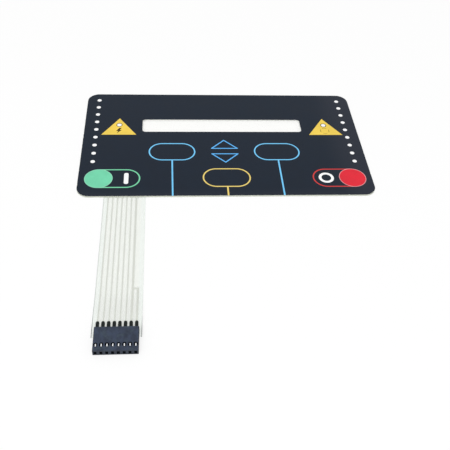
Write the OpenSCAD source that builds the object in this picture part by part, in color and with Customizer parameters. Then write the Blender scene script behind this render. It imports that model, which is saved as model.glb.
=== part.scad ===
// Membrane keypad: a laminated panel with printed keys, snap domes, a flat tail and a crimp connector.
// The panel lies on its release liner at z = 0, with its middle at the origin and its tail towards -Y.
// Its layers are listed from below: the print lies on the front of the clear overlay film.

/* [Panel] */
// Width of the panel
panel_w = 168; // [158:1:190]
// Height of the panel, without its tail
panel_h = 97; // [95:1:115]
// Radius of the panel's corners
panel_corner_r = 7; // [3:0.5:10]

/* [Layers] */
// Thickness of the release liner on the back
liner_t = 0.10; // [0.05:0.01:0.2]
// Thickness of the adhesive that fixes the panel
rear_glue_t = 0.13; // [0.05:0.01:0.25]
// Thickness of the circuit film and its tail
film_t = 0.125; // [0.075:0.005:0.2]
// Thickness of the printed silver tracks
track_t = 0.02; // [0.01:0.005:0.04]
// Thickness of the adhesive under the overlay
top_glue_t = 0.10; // [0.05:0.01:0.25]
// Thickness of the clear overlay film
overlay_t = 0.20; // [0.12:0.01:0.35]
// Thickness of the dark ink under the colours
backing_t = 0.02; // [0.01:0.005:0.04]
// Thickness of the coloured inks
colour_t = 0.02; // [0.01:0.005:0.04]

/* [Display window] */
// Width of the clear window
window_w = 98; // [80:1:102]
// Height of the clear window
window_h = 12.4; // [8:0.2:14]
// Middle of the window above the panel's middle
window_y = 15.3; // [14:0.1:20]
// Radius of the window's corners
window_r = 1.9; // [0.5:0.1:3]
// Distance by which the cut-outs of the inner layers are larger than the window
window_margin = 1.0; // [0.5:0.1:1.5]

/* [Indicator dots] */
// Diameter of a dot
dot_d = 2.6; // [1.5:0.1:4]
// Distance between the dots of a column
dot_pitch = 7.6; // [5:0.1:8]
// Distance of a column from the panel's side
dot_inset = 7.2; // [6:0.1:9]
// Distance of the first dot from the panel's top edge
dot_drop = 6.8; // [5:0.1:9]
// Least space between the last dot and the disc below it
dot_clearance = 1.0; // [0.5:0.1:3]
// Distance by which the light holes in the spacer are wider than the dots
dot_margin = 0.6; // [0.2:0.1:1]

/* [Lamp triangles] */
// Width of a yellow triangle
lamp_w = 21; // [14:0.2:22]
// Height of a yellow triangle
lamp_h = 16.4; // [14:0.2:18]
// Distance of the left triangle's middle from the panel's side
left_lamp_inset = 20.9; // [19:0.05:24]
// Distance of the right triangle's middle from the panel's side
right_lamp_inset = 20.25; // [19:0.05:24]
// Height of a triangle's base above the panel's middle
lamp_y = 6.15; // [4:0.05:12]
// Height of the lamp dot above the triangle's base
lamp_rise = 9.7; // [8:0.1:10.4]
// Diameter of the lamp dot
lamp_d = 2.8; // [1.5:0.1:3.2]
// Width of the dark ring round the lamp dot
lamp_ring = 0.45; // [0.2:0.05:0.5]
// Height of a symbol's middle above the triangle's base
symbol_rise = 4.1; // [3.2:0.1:4.4]
// Height of the flash in the left triangle
flash_h = 5.3; // [3:0.1:6]
// Diameter of the broken ring in the right triangle
broken_ring_d = 5.7; // [3:0.1:6]

/* [Function keys] */
// Length of a key outline, at the middle of its line
key_len = 26.7; // [20:0.1:30]
// Height of a key outline, at the middle of its line
key_h = 15.2; // [12:0.2:17]
// Width of the line of a key outline
key_line = 0.8; // [0.4:0.05:1.2]
// Width of the line from a key to the panel's lower edge
stem_w = 0.9; // [0.4:0.05:1.4]
// Distance of the two blue keys from the panel's middle
side_key_x = 31.2; // [26:0.2:34]
// Middle of the blue keys below the panel's middle
side_key_drop = 10.1; // [8:0.1:14]
// Middle of the amber key to the right of the panel's middle
mid_key_x = -0.3; // [-1:0.1:1]
// Middle of the amber key below the panel's middle
mid_key_drop = 33.4; // [31:0.1:36]

/* [Arrow keys] */
// Width of an arrow at the middle of its line
arrow_w = 15.4; // [11:0.1:18]
// Height of an arrow at the middle of its line
arrow_h = 7.7; // [6:0.1:9]
// Width of the line of an arrow
arrow_line = 0.75; // [0.3:0.05:1]
// Gap between the bases of the two arrows
arrow_gap = 5.1; // [4.2:0.1:6]
// Middle of the pair of arrows below the panel's middle
arrow_drop = 9.6; // [9:0.1:11]

/* [Start and stop keys] */
// Diameter of the coloured disc and height of the outline round its symbol
disc_d = 15.8; // [12:0.1:18]
// Distance of the disc's middle from the panel's side
disc_inset = 11.4; // [10:0.1:13]
// Distance of the disc's middle from the panel's lower edge
disc_lift = 14.6; // [13:0.1:17]
// Distance from the disc's middle to the symbol's middle
symbol_span = 15.45; // [14:0.05:18]
// Length of the bar of the start symbol
bar_len = 9.3; // [6:0.1:11]
// Width of the bar of the start symbol
bar_w = 2.5; // [1.5:0.1:4]
// Outer diameter of the ring of the stop symbol
ring_d = 8.8; // [6:0.1:10]
// Width of the ring of the stop symbol
ring_w = 1.6; // [1:0.05:2.5]

/* [Snap domes] */
// Diameter of a dome
dome_d = 8.0; // [6:0.1:8.6]
// Height of a dome
dome_rise = 0.4; // [0.25:0.05:0.6]
// Thickness of a dome's steel
dome_t = 0.07; // [0.05:0.01:0.1]
// Free space above a dome
dome_headroom = 0.05; // [0.02:0.01:0.1]
// Space round a dome in the spacer
dome_clearance = 0.5; // [0.3:0.1:0.8]
// Width of the air channels between the pockets of the spacer
vent_w = 1.0; // [0.6:0.1:1.6]

/* [Tracks] */
// Width of a signal track
track_w = 0.65; // [0.4:0.05:0.9]
// Width of the common track
common_w = 1.05; // [0.8:0.05:1.3]
// Distance of the common track from the panel's edge
common_inset = 3; // [2:0.1:3.5]
// Distance between signal tracks under the panel
lane_pitch = 1.1; // [0.9:0.05:1.2]
// Width of the ring on which a dome stands
pad_ring_w = 1.2; // [0.8:0.1:1.5]
// Diameter of the pad under a dome's middle
pad_d = 2.8; // [1.5:0.1:3]

/* [Tail] */
// Distance of the tail's middle from the panel's left side
tail_inset = 26.6; // [25:0.1:34]
// Length of the tail from the panel's edge to the end of the film
tail_len = 94; // [70:0.1:150]
// Length over which the tail rises to the connector
tail_rise_len = 16; // [10:0.5:25]
// Distance from the film's end to the bridge between the last two tracks
bridge_back = 29.8; // [27:0.1:40]

/* [Connector] */
// Distance between contacts
pitch = 2.54; // [2.5:0.01:2.8]
// Length of the housing
housing_len = 13.2; // [12.5:0.1:18]
// Height of the housing
housing_h = 3.2; // [3:0.05:4]
// Chamfer of the housing's edges
housing_edge = 0.25; // [0.1:0.05:0.4]
// Chamfer of the housing's two rear corners
housing_corner = 0.5; // [0.25:0.05:0.7]
// Length of film inside the housing
film_entry = 5; // [4:0.1:5.4]
// Length of the crimp lugs behind the housing
lug_out = 3.8; // [2:0.1:4.5]
// Width of a contact
contact_w = 1.6; // [1.3:0.05:1.7]
// Space round a contact in its cavity
contact_gap = 0.1; // [0.05:0.01:0.12]
// Width of the hole for a mating pin
pin_hole_w = 1.15; // [0.8:0.05:1.2]
// Height of the hole for a mating pin
pin_hole_h = 1.85; // [0.8:0.05:1.9]
// Depth of the funnel before a pin hole, and how much wider its mouth is than the hole
pin_lead = 0.2; // [0.1:0.05:0.3]
// Length of an inspection window over a contact
latch_len = 2.4; // [2:0.1:3]
// Width of an inspection window over a contact
latch_w = 1.75; // [1.5:0.05:1.8]
// Distance of the windows from the housing's front
latch_back = 3.4; // [3:0.1:4]

/* [Hidden] */
$fn = 48;
// Overlap of shapes that are joined or cut through
eps = 0.5;

// Heights of the undersides of the layers
z_rear_glue = liner_t;
z_film = z_rear_glue + rear_glue_t;
z_track = z_film + film_t;
z_spacer = z_track + track_t;
spacer_t = dome_rise + dome_headroom;
z_top_glue = z_spacer + spacer_t;
z_overlay = z_top_glue + top_glue_t;
z_backing = z_overlay + overlay_t;
z_colour = z_backing + backing_t;

// Middles of the keys and what they are called
top_y = panel_h / 2;
base_y = -panel_h / 2;
side_x = panel_w / 2;
disc_x = side_x - disc_inset;
disc_y = base_y + disc_lift;
arrow_dome_y = arrow_gap / 2 + arrow_h / 2;
START = [-disc_x, disc_y];
STOP = [disc_x, disc_y];
LEFT = [-side_key_x, -side_key_drop];
RIGHT = [side_key_x, -side_key_drop];
UP = [0, -arrow_drop + arrow_dome_y];
DOWN = [0, -arrow_drop - arrow_dome_y];
MIDDLE = [mid_key_x, -mid_key_drop];
KEYS = [START, LEFT, UP, DOWN, MIDDLE, RIGHT, STOP];
KEY_NAMES = ["start", "left", "up", "down", "middle", "right", "stop"];

// Middles of the lamp triangles
LAMPS = [left_lamp_inset - side_x, side_x - right_lamp_inset];

// As many dots as there is room for above the discs
dot_room = panel_h - dot_drop - disc_lift - disc_d / 2 - dot_d / 2 - dot_clearance;
dot_count = 1 + floor(dot_room / dot_pitch);

// One signal track for each key but the down key, which lies across two of them, and one common track
signal_count = len(KEYS) - 1;
contact_count = signal_count + 2;

// Tail and connector
tail_x = -side_x + tail_inset;
tail_w = (contact_count + 1) * pitch;
film_end_y = base_y - tail_len;
housing_w = contact_count * pitch;
housing_rear_y = film_end_y + film_entry;
housing_front_y = housing_rear_y - housing_len;
lug_y = housing_rear_y + lug_out;
z_tail_end = housing_h / 2 - film_t / 2;
z_jaw = z_tail_end + film_t + track_t;
// Straight film behind the lugs before the tail bends down
tail_straight = 2;
rise_end_y = lug_y + tail_straight;
rise_steps = 12;
TAIL_HEIGHTS = concat(
    [[film_end_y, z_tail_end]],
    [for (i = [0:rise_steps]) let (t = i / rise_steps, s = (1 + cos(180 * t)) / 2)
        [rise_end_y + t * tail_rise_len, z_film + s * (z_tail_end - z_film)]],
    [[top_y, z_film]]);

// Parts of a contact
jaw_t = 0.35;
jaw_crown = 0.3;
web_len = 0.8;
box_h = 2.0;
box_bore = 1.2;
lance_w = 0.75;
lance_len = 1.6;
lance_t = 0.3;
front_wall = 1.2;
web_y = film_end_y - contact_gap;
box_y = web_y - web_len;
box_front_y = housing_front_y + front_wall + contact_gap;

CONTACTS = [for (i = [1:contact_count]) str("contact_", i)];
DOMES = [for (name = KEY_NAMES) str("dome_", name)];

// Position across the tail of a track or a contact, counted from 1
function track_x(i) = tail_x + (i - (contact_count + 1) / 2) * pitch;

// Outline of a funnel that narrows to a hole of the given size
function funnel(hole) = let (mouth = hole + pin_lead)
    [[-eps, mouth / 2], [0, mouth / 2], [pin_lead, hole / 2],
     [pin_lead, -hole / 2], [0, -mouth / 2], [-eps, -mouth / 2]];

// Height of the film's underside along the tail
function tail_z(y) = lookup(y, TAIL_HEIGHTS);

// Flat shapes

module rounded_rect(w, h, r) {
    square([w - 2 * r, h], center = true);
    square([w, h - 2 * r], center = true);
    for (x = [-1, 1], y = [-1, 1])
        translate([x * (w / 2 - r), y * (h / 2 - r)])
            circle(r);
}

module stadium(len, h) {
    square([len - h, h], center = true);
    for (x = [-1, 1])
        translate([x * (len - h) / 2, 0])
            circle(h / 2);
}

module stadium_line(len, h, line) {
    difference() {
        stadium(len + line, h + line);
        stadium(len - line, h - line);
    }
}

// Corners of a triangle that stands on the X axis
function triangle_corners(w, h) = [[-w / 2, 0], [w / 2, 0], [0, h]];

module triangle(w, h) {
    polygon(triangle_corners(w, h));
}

// Line with round corners along a triangle's sides
module triangle_line(w, h, line) {
    corners = triangle_corners(w, h);
    for (i = [0:2]) {
        a = corners[i];
        along = corners[(i + 1) % 3] - a;
        translate(a) {
            circle(line / 2);
            rotate(atan2(along.y, along.x))
                translate([0, -line / 2])
                    square([norm(along), line]);
        }
    }
}

module flat_ring(d, w) {
    difference() {
        circle(d / 2);
        circle(d / 2 - w);
    }
}

// Line of upright and level runs through the given points
module route(points, w) {
    for (i = [1:len(points) - 1]) {
        a = points[i - 1];
        b = points[i];
        translate([min(a.x, b.x) - w / 2, min(a.y, b.y) - w / 2])
            square([abs(a.x - b.x) + w, abs(a.y - b.y) + w]);
    }
}

module panel_outline() {
    rounded_rect(panel_w, panel_h, panel_corner_r);
}

module window_outline(margin = 0) {
    translate([0, window_y])
        rounded_rect(window_w + 2 * margin, window_h + 2 * margin, window_r + margin);
}

// Fields of the print

module dots(margin = 0) {
    for (side = [-1, 1], i = [0:dot_count - 1])
        translate([side * (side_x - dot_inset), top_y - dot_drop - i * dot_pitch])
            circle(dot_d / 2 + margin);
}

module lamps(d) {
    for (x = LAMPS)
        translate([x, lamp_y + lamp_rise])
            circle(d / 2);
}

module lamp_triangles() {
    for (x = LAMPS)
        translate([x, lamp_y])
            triangle(lamp_w, lamp_h);
}

// Voltage flash on the left, and a broken ring for restart on the right, each one unit high
module flash() {
    polygon([[0.02, 0.5], [-0.34, -0.1], [-0.06, -0.06], [-0.24, -0.5], [0.32, 0.1], [0.06, 0.1], [0.3, 0.5]]);
}

module broken_ring() {
    gap = 0.26;
    line = 0.07;
    difference() {
        flat_ring(1, line);
        for (turn = [45, 135])
            rotate(turn)
                square([2, gap], center = true);
    }
}

module lamp_symbols() {
    translate([LAMPS[0], lamp_y + symbol_rise])
        scale(flash_h)
            flash();
    translate([LAMPS[1], lamp_y + symbol_rise])
        scale(broken_ring_d)
            broken_ring();
}

module lamp_rings() {
    difference() {
        lamps(lamp_d + 2 * lamp_ring);
        lamps(lamp_d);
    }
}

module black_fields() {
    lamp_rings();
    lamp_symbols();
}

module yellow_fields() {
    difference() {
        lamp_triangles();
        lamps(lamp_d + 2 * lamp_ring);
        lamp_symbols();
    }
}

module function_key(place) {
    translate(place)
        stadium_line(key_len, key_h, key_line);
    translate([place.x - stem_w / 2, base_y])
        square([stem_w, place.y - key_h / 2 - base_y]);
}

module arrows() {
    for (turn = [0, 180])
        translate([0, -arrow_drop])
            rotate(turn)
                translate([0, arrow_gap / 2])
                    triangle_line(arrow_w, arrow_h, arrow_line);
}

module blue_fields() {
    function_key(LEFT);
    function_key(RIGHT);
    arrows();
}

module amber_fields() {
    function_key(MIDDLE);
}

// Disc at the outer end of an outline, on the side that is -1 or 1
module disc_key(side) {
    line_h = disc_d - key_line;
    translate([side * disc_x, disc_y]) {
        circle(disc_d / 2);
        difference() {
            translate([-side * symbol_span / 2, 0])
                stadium_line(symbol_span + line_h, line_h, key_line);
            circle(line_h / 2);
        }
    }
}

// Fields that let light through, and so go through the dark ink too
module light_fields() {
    dots();
    lamps(lamp_d);
}

module white_symbols() {
    translate([symbol_span - disc_x, disc_y])
        rounded_rect(bar_w, bar_len, 0.4 * bar_w);
    translate([disc_x - symbol_span, disc_y])
        flat_ring(ring_d, ring_w);
}

// Layers of the panel

module layer(z, t) {
    translate([0, 0, z])
        linear_extrude(t)
            children();
}

module release_liner() {
    color([0.93, 0.93, 0.88])
        layer(0, liner_t)
            panel_outline();
}

module sheet_with_window() {
    difference() {
        panel_outline();
        window_outline(window_margin);
    }
}

module rear_adhesive() {
    color([0.87, 0.88, 0.80])
        layer(z_rear_glue, rear_glue_t)
            sheet_with_window();
}

module overlay_adhesive() {
    color([0.87, 0.88, 0.80])
        layer(z_top_glue, top_glue_t)
            sheet_with_window();
}

// Strip that follows the tail, from y0 up to y1, with its underside at a height above the film's own
module tail_strip(x, w, y0, y1, above, t) {
    bends = [for (place = TAIL_HEIGHTS) if (place[0] > y0 && place[0] < y1) place[0]];
    stations = concat([y0], bends, [y1]);
    under = [for (y = stations) [y, tail_z(y) + above]];
    over = [for (i = [len(stations) - 1:-1:0]) [stations[i], tail_z(stations[i]) + above + t]];
    translate([x - w / 2, 0, 0])
        rotate([90, 0, 90])
            linear_extrude(w)
                polygon(concat(under, over));
}

module circuit_film() {
    color([0.93, 0.95, 0.93]) {
        layer(z_film, film_t)
            sheet_with_window();
        tail_strip(tail_x, tail_w, film_end_y, base_y + eps, 0, film_t);
    }
}

// Ring with a gap that faces the given way, and a pad in its middle
module dome_pad(place, facing) {
    translate(place) {
        circle(pad_d / 2);
        difference() {
            flat_ring(dome_d + dome_clearance, pad_ring_w);
            rotate(facing)
                translate([0, -pad_d / 2])
                    square([dome_d, pad_d]);
        }
    }
}

module dome_pads() {
    dome_pad(START, 0);
    dome_pad(DOWN, 270);
    for (place = [LEFT, UP, MIDDLE, RIGHT, STOP])
        dome_pad(place, 90);
}

// Level run of a signal track under the window, counted down from 1
function lane_y(i) = window_y - window_h / 2 - window_margin - i * lane_pitch;

module signal_routes() {
    turn_y = (DOWN.y + MIDDLE.y) / 2;
    outer_x = dome_d / 2 + dome_clearance + 2 * lane_pitch;
    inner_x = outer_x - lane_pitch;
    start_y = base_y - eps;
    route([[track_x(1), start_y], [track_x(1), START.y], START], track_w);
    route([[track_x(2), start_y], [track_x(2), lane_y(1)], [STOP.x, lane_y(1)], STOP], track_w);
    route([[track_x(3), start_y], [track_x(3), lane_y(2)], [RIGHT.x, lane_y(2)], RIGHT], track_w);
    route([[track_x(4), start_y], [track_x(4), lane_y(3)], [UP.x, lane_y(3)], UP], track_w);
    route([[-inner_x, lane_y(3)], [-inner_x, DOWN.y], [-dome_d / 2, DOWN.y]], track_w);
    route([[track_x(5), start_y], [track_x(5), lane_y(4)], [-outer_x, lane_y(4)],
           [-outer_x, turn_y], [0, turn_y], MIDDLE], track_w);
    route([[0, turn_y], DOWN], track_w);
    route([[track_x(6), start_y], [track_x(6), lane_y(5)], [LEFT.x, lane_y(5)], LEFT], track_w);
}

module common_routes() {
    low_y = base_y + common_inset;
    high_y = top_y - common_inset;
    far_x = side_x - common_inset;
    first_x = track_x(contact_count - 1);
    pad_r = dome_d / 2;
    bus_x = pad_r + dome_clearance + 2 * lane_pitch;
    route([[first_x, base_y - eps], [first_x, low_y], [far_x, low_y], [far_x, high_y],
           [-far_x, high_y], [-far_x, START.y], [START.x - pad_r, START.y]], common_w);
    route([[bus_x, low_y], [bus_x, UP.y], [pad_r, UP.y]], common_w);
    route([[bus_x, MIDDLE.y], [pad_r, MIDDLE.y]], common_w);
    for (place = [LEFT, RIGHT, STOP])
        route([[place.x, low_y], [place.x, place.y - pad_r]], common_w);
}

module tail_tracks() {
    last = contact_count - 1;
    bridge_y = film_end_y + bridge_back;
    for (i = [1:signal_count])
        tail_strip(track_x(i), track_w, film_end_y, base_y, film_t, track_t);
    tail_strip(track_x(last), common_w, film_end_y, base_y, film_t, track_t);
    tail_strip(track_x(contact_count), common_w, film_end_y, bridge_y, film_t, track_t);
    tail_strip(track_x(last + 0.5), pitch + common_w, bridge_y - common_w, bridge_y, film_t, track_t);
}

module silver_tracks() {
    color([0.78, 0.79, 0.77]) {
        layer(z_track, track_t) {
            dome_pads();
            signal_routes();
            common_routes();
        }
        tail_tracks();
    }
}

module vents() {
    route([LEFT, [UP.x, LEFT.y]], vent_w);
    route([RIGHT, [UP.x, RIGHT.y]], vent_w);
    route([UP, MIDDLE], vent_w);
}

module spacer() {
    color([0.90, 0.91, 0.90])
        layer(z_spacer, spacer_t)
            difference() {
                sheet_with_window();
                for (place = KEYS)
                    translate(place)
                        circle(dome_d / 2 + dome_clearance);
                vents();
                dots(dot_margin / 2);
                lamps(lamp_d + dot_margin);
            }
}

// Shallow cap of spring steel that stands on its rim
module dome(place) {
    foot_r = dome_d / 2;
    steps = 6;
    cap_r = (foot_r * foot_r + dome_rise * dome_rise) / (2 * dome_rise);
    spread = asin(foot_r / cap_r);
    inner_r = cap_r - dome_t;
    inner_spread = acos((cap_r - dome_rise) / inner_r);
    sink = cap_r - dome_rise;
    outer = [for (i = [0:steps]) let (a = spread * i / steps) [cap_r * sin(a), cap_r * cos(a) - sink]];
    inner = [for (i = [steps:-1:0]) let (a = inner_spread * i / steps)
        [inner_r * sin(a), inner_r * cos(a) - sink]];
    color([0.76, 0.77, 0.78])
        translate([place.x, place.y, z_spacer])
            rotate_extrude()
                polygon(concat(outer, inner));
}

module overlay_film() {
    color([0.95, 0.96, 0.96, 0.4])
        layer(z_overlay, overlay_t)
            panel_outline();
}

// Dark ink over the whole front, let in for the colours and left out where light goes through
module navy_print() {
    color([0.16, 0.18, 0.22])
        difference() {
            layer(z_backing, backing_t + colour_t)
                difference() {
                    panel_outline();
                    window_outline();
                    light_fields();
                }
            layer(z_colour, colour_t + eps) {
                blue_fields();
                amber_fields();
                disc_key(-1);
                disc_key(1);
                lamp_triangles();
                white_symbols();
            }
        }
}

module blue_print() {
    color([0.55, 0.79, 0.97])
        layer(z_colour, colour_t)
            blue_fields();
}

module amber_print() {
    color([0.88, 0.81, 0.48])
        layer(z_colour, colour_t)
            amber_fields();
}

module green_print() {
    color([0.48, 0.84, 0.68])
        layer(z_colour, colour_t)
            disc_key(-1);
}

module red_print() {
    color([0.88, 0.22, 0.27])
        layer(z_colour, colour_t)
            disc_key(1);
}

module yellow_print() {
    color([0.94, 0.82, 0.34])
        layer(z_colour, colour_t)
            yellow_fields();
}

module white_print() {
    color([0.97, 0.97, 0.96]) {
        layer(z_backing, backing_t + colour_t)
            light_fields();
        layer(z_colour, colour_t)
            white_symbols();
    }
}

module black_print() {
    color([0.24, 0.20, 0.10])
        layer(z_colour, colour_t)
            black_fields();
}

// Connector

// Block between two corners given as [x, y, z], with x measured from the middle
module block(w, y0, y1, z0, z1) {
    translate([-w / 2, y0, z0])
        cube([w, y1 - y0, z1 - z0]);
}

// Funnel in the front face that leads a pin to its hole
module pin_funnel() {
    translate([0, housing_front_y, housing_h / 2])
        intersection() {
            rotate([90, 0, 90])
                linear_extrude(pin_hole_w + pin_lead, center = true)
                    polygon(funnel(pin_hole_h));
            rotate([0, 0, 90])
                linear_extrude(pin_hole_h + pin_lead, center = true)
                    polygon(funnel(pin_hole_w));
        }
}

module contact_cavity() {
    mid_z = housing_h / 2;
    wide = contact_w + 2 * contact_gap;
    box_r = box_h / 2 + contact_gap;
    block(pin_hole_w, housing_front_y - eps, box_front_y, mid_z - pin_hole_h / 2, mid_z + pin_hole_h / 2);
    pin_funnel();
    block(wide, box_front_y - contact_gap, web_y, mid_z - box_r, mid_z + box_r);
    block(wide, web_y - eps, housing_rear_y + eps, z_tail_end - jaw_t - contact_gap,
          z_jaw + jaw_t + jaw_crown + contact_gap);
    translate([0, housing_front_y + latch_back, mid_z])
        linear_extrude(housing_h)
            rotate(90)
                stadium(latch_len, latch_w);
}

// Rectangle with its lower corners cut off by e and its upper ones by f
module clipped_rect(w, h, e, f) {
    polygon([[-w / 2, e - h / 2], [e - w / 2, -h / 2], [w / 2 - e, -h / 2], [w / 2, e - h / 2],
             [w / 2, h / 2 - f], [w / 2 - f, h / 2], [f - w / 2, h / 2], [-w / 2, h / 2 - f]]);
}

module housing_block() {
    translate([0, (housing_front_y + housing_rear_y) / 2, housing_h / 2])
        intersection() {
            linear_extrude(housing_h, center = true)
                clipped_rect(housing_w, housing_len, housing_edge, housing_corner);
            rotate([90, 0, 90])
                linear_extrude(housing_w, center = true)
                    clipped_rect(housing_len, housing_h, housing_edge, housing_edge);
        }
}

module connector_housing() {
    slot_w = housing_w + 2 * eps;
    color([0.17, 0.18, 0.21])
        difference() {
            translate([tail_x, 0, 0])
                housing_block();
            translate([tail_x, 0, 0])
                block(slot_w, web_y, housing_rear_y + eps, z_tail_end - contact_gap, z_jaw + contact_gap);
            for (i = [1:contact_count])
                translate([track_x(i), 0, 0])
                    contact_cavity();
        }
}

// Upper half of the crimp, with a crowned back and a round end
module crimp_lug() {
    crown_r = (contact_w * contact_w / 4 + jaw_crown * jaw_crown) / (2 * jaw_crown);
    intersection() {
        translate([0, lug_y, z_jaw])
            rotate([90, 0, 0])
                linear_extrude(lug_y - web_y) {
                    translate([-contact_w / 2, 0])
                        square([contact_w, jaw_t]);
                    intersection() {
                        translate([0, jaw_t + jaw_crown - crown_r])
                            circle(crown_r);
                        translate([-contact_w / 2, 0])
                            square([contact_w, jaw_t + jaw_crown]);
                    }
                }
        crimp_plan(z_jaw - eps, z_jaw + jaw_t + jaw_crown + eps);
    }
}

// Plan of the crimp between two heights
module crimp_plan(z0, z1) {
    translate([0, 0, z0])
        linear_extrude(z1 - z0) {
            translate([0, lug_y - contact_w / 2])
                circle(contact_w / 2);
            translate([-contact_w / 2, web_y])
                square([contact_w, lug_y - web_y - contact_w / 2]);
        }
}

module contact(i) {
    mid_z = housing_h / 2;
    jaw_low = z_tail_end - jaw_t;
    lance_y = housing_front_y + latch_back;
    color([0.80, 0.80, 0.78])
        translate([track_x(i), 0, 0]) {
            crimp_lug();
            crimp_plan(jaw_low, z_tail_end);
            block(contact_w, box_y, web_y, jaw_low, z_jaw + jaw_t);
            difference() {
                block(contact_w, box_front_y, box_y + eps, mid_z - box_h / 2, mid_z + box_h / 2);
                block(box_bore, box_front_y - eps, box_y - eps, mid_z - box_bore / 2, mid_z + box_bore / 2);
            }
            block(lance_w, lance_y - lance_len / 2, lance_y + lance_len / 2,
                  mid_z + box_h / 2 - lance_t, mid_z + box_h / 2 + lance_t);
        }
}

release_liner();
rear_adhesive();
circuit_film();
silver_tracks();
spacer();
for (i = [0:len(KEYS) - 1])
    dome(KEYS[i]);
overlay_adhesive();
overlay_film();
navy_print();
blue_print();
amber_print();
green_print();
red_print();
yellow_print();
white_print();
black_print();
connector_housing();
for (i = [1:contact_count])
    contact(i);
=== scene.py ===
"""Looks of a laminated membrane keypad: its inks, films, tail and crimp connector, on a plain stage."""

import math

import bmesh
import bpy
from bpy.props import FloatProperty, FloatVectorProperty, IntProperty, PointerProperty
from mathutils import Matrix, Vector


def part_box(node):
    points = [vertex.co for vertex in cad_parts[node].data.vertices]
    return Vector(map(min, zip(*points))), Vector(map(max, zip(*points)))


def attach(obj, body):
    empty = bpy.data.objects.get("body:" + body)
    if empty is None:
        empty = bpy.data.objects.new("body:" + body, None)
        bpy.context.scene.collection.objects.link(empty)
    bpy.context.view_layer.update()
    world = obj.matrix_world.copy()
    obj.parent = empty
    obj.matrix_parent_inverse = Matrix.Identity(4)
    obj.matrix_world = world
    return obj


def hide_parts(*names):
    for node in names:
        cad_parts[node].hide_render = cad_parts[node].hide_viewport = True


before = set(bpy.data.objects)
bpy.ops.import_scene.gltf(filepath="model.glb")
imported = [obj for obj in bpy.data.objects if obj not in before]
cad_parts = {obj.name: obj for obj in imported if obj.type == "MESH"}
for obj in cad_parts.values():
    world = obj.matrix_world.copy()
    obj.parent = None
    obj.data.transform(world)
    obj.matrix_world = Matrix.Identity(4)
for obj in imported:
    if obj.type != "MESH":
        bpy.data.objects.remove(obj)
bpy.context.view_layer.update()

bl_info = {
    "name": "Membrane keypad",
    "version": (1, 0, 0),
    "blender": (4, 5, 0),
    "location": "View3D > Sidebar > Keypad",
    "description": "Finishes a membrane keypad with inks, films, a flat tail and a crimp connector",
    "category": "Object",
}

MM = 0.001
INKS = ("navy", "blue", "amber", "green", "red", "yellow", "white", "black")
DARK_INKS = ("navy", "black")
KEYS = ("start", "left", "up", "down", "middle", "right", "stop")
CONTACT_COUNT = 8

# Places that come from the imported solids
PANEL_LOW, PANEL_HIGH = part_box("overlay_film")
NAVY_LOW, NAVY_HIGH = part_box("navy_print")
HOUSING_LOW, HOUSING_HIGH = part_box("connector_housing")
HOUSING_Z = (HOUSING_LOW.z + HOUSING_HIGH.z) / 2
FILM_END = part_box("circuit_film")[0].y
FIRST_LOW, FIRST_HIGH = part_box("contact_1")
LAST_LOW, LAST_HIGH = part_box("contact_%d" % CONTACT_COUNT)
FIRST_X = (FIRST_LOW.x + FIRST_HIGH.x) / 2
PITCH = ((LAST_LOW.x + LAST_HIGH.x) / 2 - FIRST_X) / (CONTACT_COUNT - 1)
TAIL_X = FIRST_X + PITCH * (CONTACT_COUNT - 1) / 2
TAIL_W = PITCH * (CONTACT_COUNT + 1)
CONTACT_W = FIRST_HIGH.x - FIRST_LOW.x

# Radius of the panel's corners
PANEL_CORNER = 7 * MM
# Half width of the strip in the panel's middle that holds the arrows
ARROW_ZONE = 12 * MM
# Height of the lamp rings, which reach higher than the other black symbols, and their lowest point
LAMP_RING = 4 * MM
LAMP_RING_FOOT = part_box("black_print")[1].y - LAMP_RING
# How far the border of a wide zone, and of a thin line, is blurred
ZONE_BLUR, LINE_BLUR = 1 * MM, 0.1 * MM
# Where the painted sheen on the navy starts and is full, from the right edge, and where it starts from the
# front edge
SHEEN_START, SHEEN_FULL, SHEEN_FRONT = 26 * MM, 6 * MM, 7 * MM
# Zones before the tail's end: where painted shade starts to darken the film, and where the painted shadow
# lines on its edges start and are full
TAIL_SHADE, WING_START, WING_FULL = 40 * MM, 14 * MM, 4 * MM
# Factors on the parts of a colour that make it cooler
COOLER = (0.96, 0.995, 1.01)

# A direction with more than this along an axis lies along it
ALIGNED = 0.9
# A length that is too small to matter
TINY = 1e-6
# The share of a half width that a round end takes, so that its two roundings don't meet
ROUND_END = 0.999
# Edges between faces that turn by more than this can be picked
SHARP = math.radians(50)
# How far a cutter reaches past the face that it cuts
OVERCUT = 0.5 * MM
# Shares of the crown's and the lance's rise that their roundings take, and of the box that its bore takes
CROWN_ROUND, LANCE_ROUND, BORE_REACH = 0.9, 0.8, 0.85

FLOOR_SIZE = 6
FLOOR_DROP = 0.02 * MM
SENSOR_WIDTH = 36
CLIP_START, CLIP_END = 0.01, 20
WHITE_LIGHT = (1, 1, 1)


def linear(red, green, blue):
    """Linear colour of a screen colour whose parts go from 0 to 255."""
    parts = [part / 255 for part in (red, green, blue)]
    return tuple(p / 12.92 if p <= 0.04045 else ((p + 0.055) / 1.055) ** 2.4 for p in parts)


def colour_property(label, what, red, green, blue):
    """A colour that a user can change, given as a screen colour."""
    return FloatVectorProperty(
        name=label, description=what, subtype="COLOR", min=0, max=1, default=linear(red, green, blue)
    )


def length_property(label, what, millimetres):
    """A length that a user can change, given in millimetres."""
    return FloatProperty(
        name=label, description=what, unit="LENGTH", min=0, precision=5, default=millimetres * MM
    )


def share_property(label, what, share):
    """A number from 0 to 1 that a user can change."""
    return FloatProperty(name=label, description=what, subtype="FACTOR", min=0, max=1, default=share)


def angle_property(label, what, degrees):
    """An angle that a user can change, given in degrees."""
    return FloatProperty(name=label, description=what, subtype="ANGLE", default=math.radians(degrees))


def place_property(label, what, place):
    """A place that a user can change, given in metres."""
    return FloatVectorProperty(
        name=label, description=what, subtype="TRANSLATION", unit="LENGTH", default=place
    )


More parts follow.
